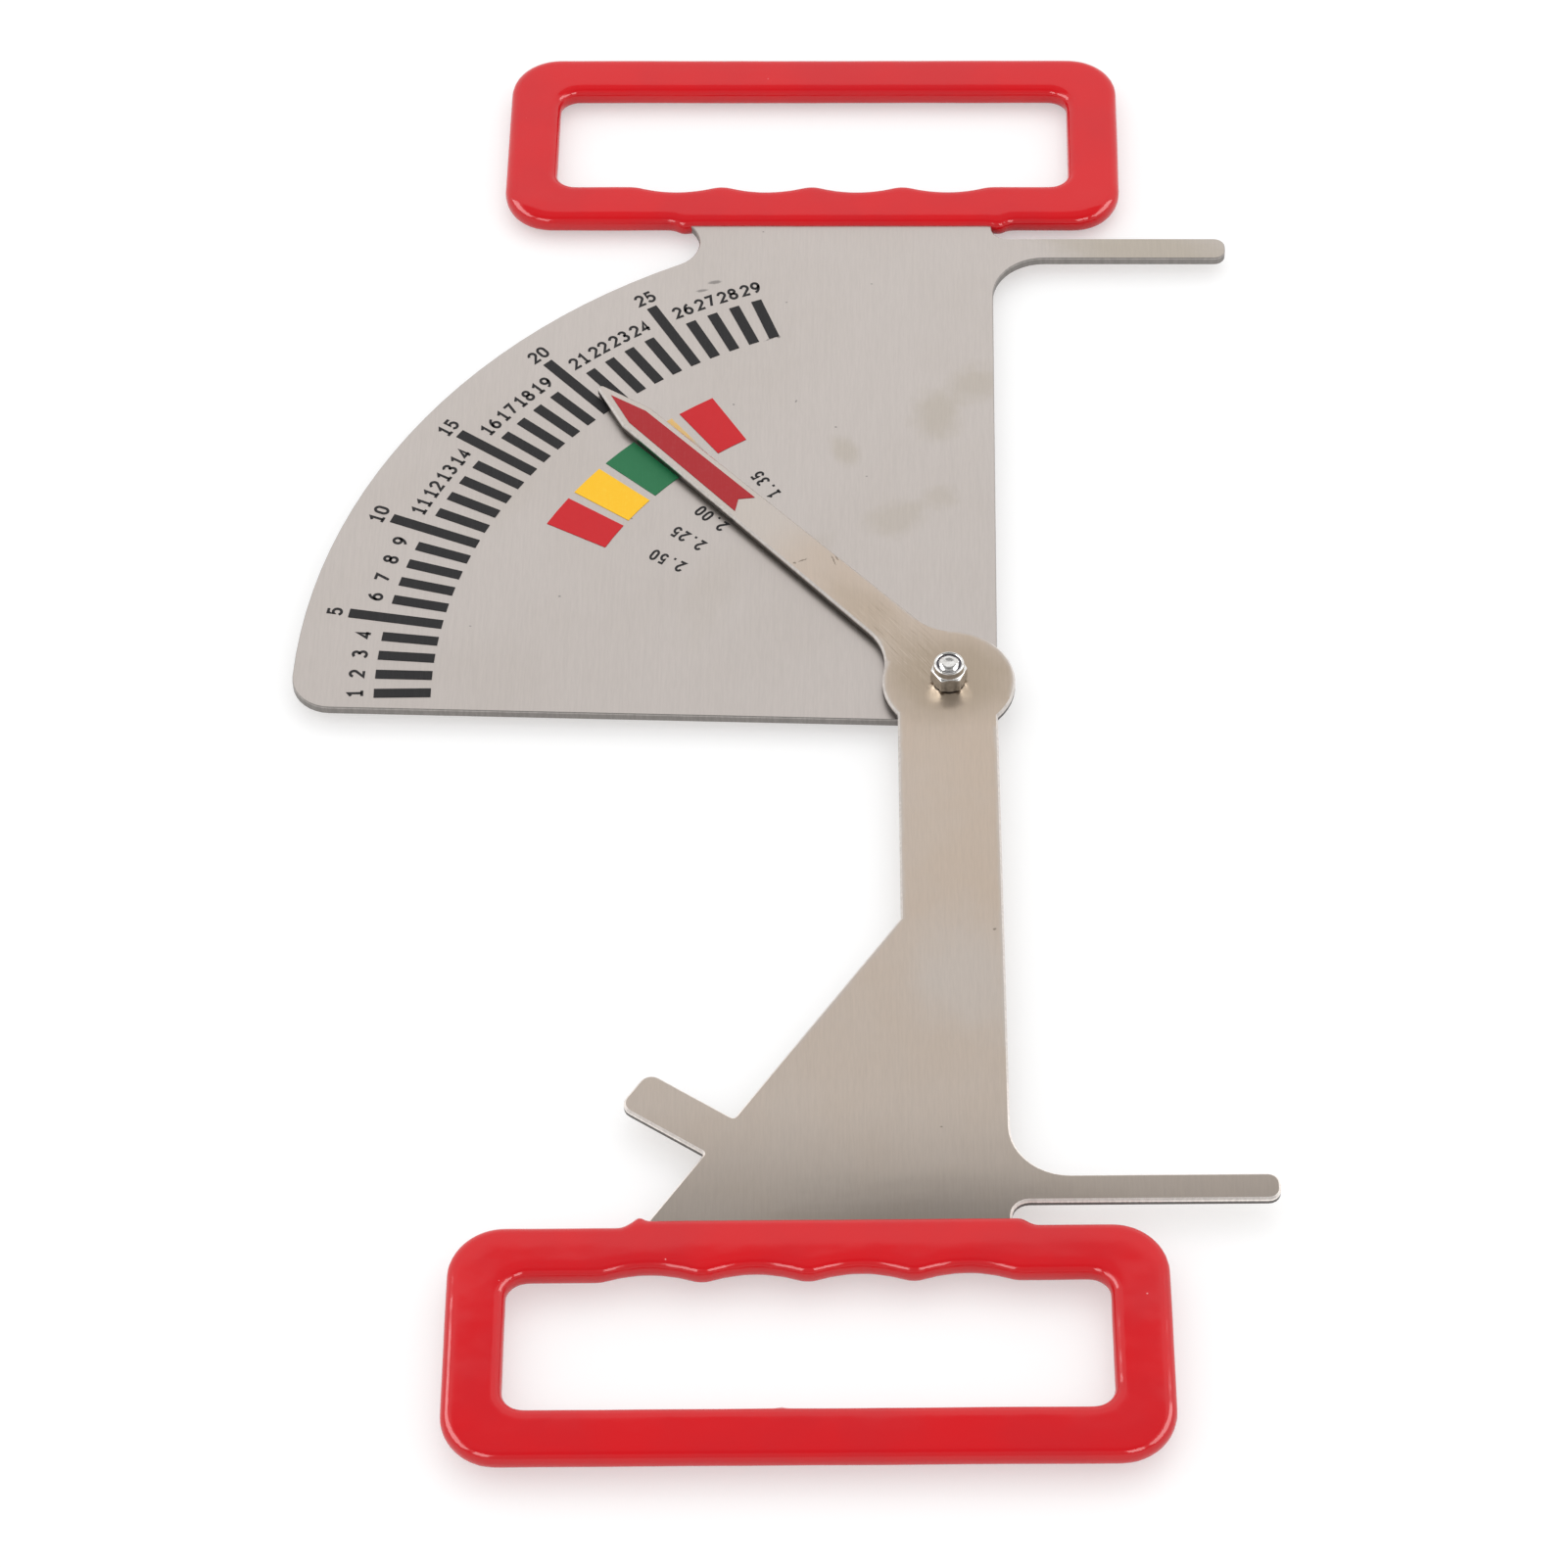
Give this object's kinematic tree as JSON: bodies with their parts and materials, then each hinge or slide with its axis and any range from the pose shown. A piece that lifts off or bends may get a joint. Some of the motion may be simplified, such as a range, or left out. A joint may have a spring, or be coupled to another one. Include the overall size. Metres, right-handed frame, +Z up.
{
  "type": "backfat caliper",
  "caption": "Flat steel caliper: arms with red dipped handles and measuring fingers turn on a bolt, and a pointer reads a printed quarter-round scale.",
  "frame": {"origin": "where the pivot's axis meets the surface the caliper lies on, on the underside of the bolt's head", "axes": "+X the way the measuring fingers point, +Y from the pivot towards the scale plate's handle, +Z up out of the printed scale, along the pivot"},
  "size_m": [0.2395, 0.4534, 0.0162],
  "materials": {
    "plate_steel": "brushed stainless sheet, faint grain",
    "arm_steel": "brushed stainless sheet with a tan tarnish",
    "bright_zinc": "bright zinc plate",
    "dip_coat": "glossy red dipped vinyl",
    "ring_plastic": "dull nylon",
    "ink_black": "printed ink",
    "ink_red": "printed ink",
    "ink_yellow": "printed ink",
    "ink_green": "printed ink"
  },
  "bodies": {
    "scale_side": {"scale_plate": "plate_steel", "upper_grip": "dip_coat", "pivot_bolt": "bright_zinc", "lock_nut": "bright_zinc", "nut_ring": "ring_plastic", "zone_1_red": "ink_red", "zone_2_yellow": "ink_yellow", "zone_3_green": "ink_green", "zone_4_yellow": "ink_yellow", "zone_5_red": "ink_red", "tick_01": "ink_black", "tick_02": "ink_black", "tick_03": "ink_black", "tick_04": "ink_black", "tick_05": "ink_black", "tick_06": "ink_black", "tick_07": "ink_black", "tick_08": "ink_black", "tick_09": "ink_black", "tick_10": "ink_black", "tick_11": "ink_black", "tick_12": "ink_black", "tick_13": "ink_black", "tick_14": "ink_black", "tick_15": "ink_black", "tick_16": "ink_black", "tick_17": "ink_black", "tick_18": "ink_black", "tick_19": "ink_black", "tick_20": "ink_black", "tick_21": "ink_black", "tick_22": "ink_black", "tick_23": "ink_black", "tick_24": "ink_black", "tick_25": "ink_black", "tick_26": "ink_black", "tick_27": "ink_black", "tick_28": "ink_black", "tick_29": "ink_black"},
    "pointer_side": {"pointer_arm": "arm_steel", "lower_grip": "dip_coat", "pointer_arrow": "ink_red"}
  },
  "joints": [
    {"name": "pivot", "type": "hinge", "parent": "scale_side", "child": "pointer_side", "pos_m": [0, 0, 0.00785], "axis": [0, 0, 1], "range_deg": [-23.4, 50.8]}
  ]
}
